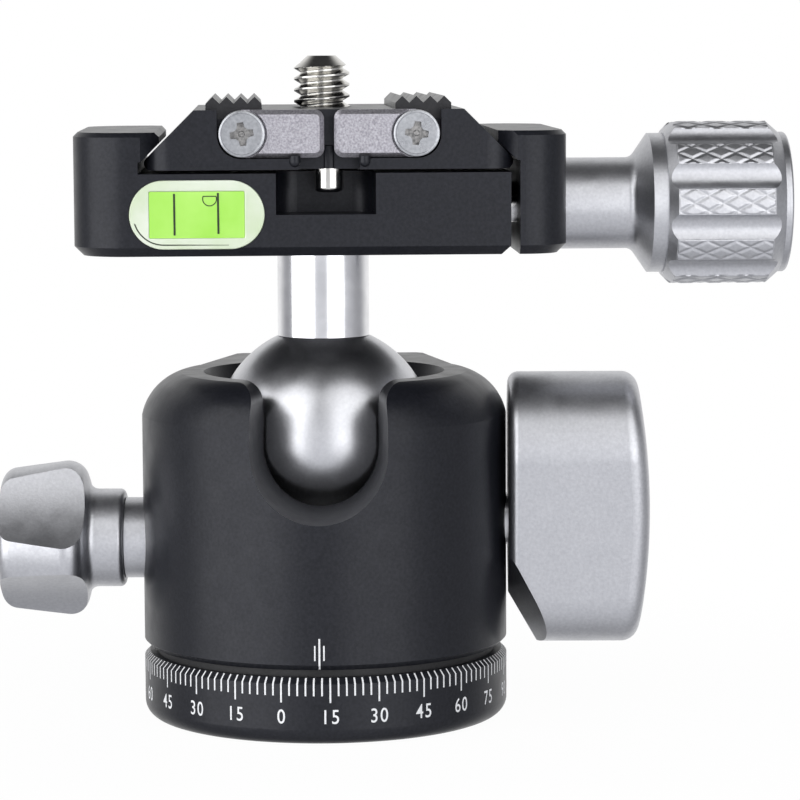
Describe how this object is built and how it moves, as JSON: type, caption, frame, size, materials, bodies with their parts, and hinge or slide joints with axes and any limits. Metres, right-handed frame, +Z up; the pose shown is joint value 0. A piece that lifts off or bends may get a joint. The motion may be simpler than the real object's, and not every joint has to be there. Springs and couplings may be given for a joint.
{
  "type": "tripod ball head",
  "caption": "Tripod ball head with panning base, drop notch, ball lock paddle, pan lock knob and a screw clamp holding a dovetail camera plate with flip-up stops.",
  "frame": {"origin": "centre of the base underside, on the axis of the tripod thread", "axes": "+Z up along the stem, +X towards the clamp knob and the ball lock knob, -Y towards the drop notch and the level"},
  "size_m": [0.0902, 0.0433, 0.0754],
  "materials": {
    "black_anodised": "fine bead-blasted black anodised",
    "silver_anodised": "bead-blasted titanium-grey anodised",
    "polished_silver": "turned bright",
    "black_ball": "satin black anodised",
    "steel": "bright",
    "brass": "turned",
    "black_plastic": "matt",
    "clear_acrylic": "clear",
    "level_fluid": "clear yellow-green"
  },
  "bodies": {
    "pan_base": {"base_disc": "black_anodised", "socket_bush": "steel", "pan_spindle": "steel", "base_screws": "steel", "pan_washer": "black_plastic"},
    "housing": {"housing": "black_anodised", "retaining_ring": "steel", "seat_plate": "brass", "cup_spring": "steel", "pan_bush": "silver_anodised"},
    "ball_cup": {"ball_cup": "black_plastic"},
    "lock_plunger": {"lock_plunger": "brass"},
    "lock_knob": {"lock_knob": "silver_anodised", "lock_screw": "steel"},
    "pan_shoe": {"pan_shoe": "brass"},
    "pan_knob": {"pan_knob": "silver_anodised", "pan_screw": "steel"},
    "ball": {"ball": "black_ball"},
    "stem": {"stem": "polished_silver"},
    "clamp": {"clamp_body": "black_anodised", "clamp_screw": "steel", "guide_pins": "steel", "level_block": "clear_acrylic", "level_vial": "level_fluid"},
    "moving_jaw": {"moving_jaw": "black_anodised"},
    "clamp_knob": {"clamp_knob": "silver_anodised", "knob_cap": "silver_anodised", "clamp_stud": "steel"},
    "plate": {"qr_plate": "black_anodised", "flap_screws": "steel", "grip_pads": "black_plastic", "stop_pins": "steel"},
    "flap_left": {"flap_left": "silver_anodised"},
    "flap_right": {"flap_right": "silver_anodised"},
    "camera_screw": {"camera_screw": "steel"}
  },
  "joints": [
    {"name": "pan", "type": "hinge", "parent": "pan_base", "child": "housing", "pos_m": [0, 0, 0.0084], "axis": [0, 0, 1], "continuous": true},
    {"name": "ball_lean", "type": "hinge", "parent": "housing", "child": "ball", "pos_m": [0, 0, 0.0322], "axis": [0, 1, 0], "range_deg": [-10, 10]},
    {"name": "ball_tilt", "type": "hinge", "parent": "ball", "child": "stem", "pos_m": [0, 0, 0.0322], "axis": [1, 0, 0], "range_deg": [-38, 90]},
    {"name": "ball_spin", "type": "hinge", "parent": "stem", "child": "clamp", "pos_m": [0, 0, 0.0322], "axis": [0, 0, 1], "continuous": true},
    {"name": "pan_knob_turn", "type": "hinge", "parent": "pan_shoe", "child": "pan_knob", "pos_m": [-0.02295, 0, 0.02025], "axis": [-1, 0, 0], "range_deg": [0, 270]},
    {"name": "pan_shoe_slide", "type": "slide", "parent": "housing", "child": "pan_shoe", "axis": [-1, 0, 0], "range_m": [0, 0.00062]},
    {"name": "lock_knob_turn", "type": "hinge", "parent": "lock_plunger", "child": "lock_knob", "pos_m": [0.02105, 0, 0.0223], "axis": [1, 0, 0], "range_deg": [0, 270]},
    {"name": "lock_plunger_slide", "type": "slide", "parent": "housing", "child": "lock_plunger", "axis": [1, 0, 0], "range_m": [0, 0.00078]},
    {"name": "cup_release", "type": "slide", "parent": "housing", "child": "ball_cup", "axis": [0, 0, -1], "range_m": [0, 0.00026]},
    {"name": "clamp_knob_turn", "type": "hinge", "parent": "moving_jaw", "child": "clamp_knob", "pos_m": [0.02666, 0.00144, 0.05845], "axis": [0.9985, 0.0541, 0], "range_deg": [0, 1080]},
    {"name": "jaw_slide", "type": "slide", "parent": "clamp", "child": "moving_jaw", "axis": [0.9985, 0.0541, 0], "range_m": [0, 0.00302]},
    {"name": "plate_slide", "type": "slide", "parent": "clamp", "child": "plate", "axis": [-0.0541, 0.9985, 0], "range_m": [-0.0012, 0.0012]},
    {"name": "flap_left_flip", "type": "hinge", "parent": "plate", "child": "flap_left", "pos_m": [-0.00818, -0.01727, 0.067], "axis": [0.0541, -0.9985, 0], "range_deg": [0, 90]},
    {"name": "flap_right_flip", "type": "hinge", "parent": "plate", "child": "flap_right", "pos_m": [0.01079, -0.01624, 0.067], "axis": [-0.0541, 0.9985, 0], "range_deg": [0, 90]},
    {"name": "camera_screw_turn", "type": "hinge", "parent": "plate", "child": "camera_screw", "pos_m": [0, 0, 0.0696], "axis": [0, 0, 1], "continuous": true}
  ],
  "couplings": [
    {"joint": "pan_shoe_slide", "follows": "pan_knob_turn", "m_per_rad": 0.00012732},
    {"joint": "lock_plunger_slide", "follows": "lock_knob_turn", "m_per_rad": 0.00015915},
    {"joint": "cup_release", "follows": "lock_knob_turn", "m_per_rad": 0.000053052},
    {"joint": "jaw_slide", "follows": "clamp_knob_turn", "m_per_rad": 0.00015915}
  ]
}
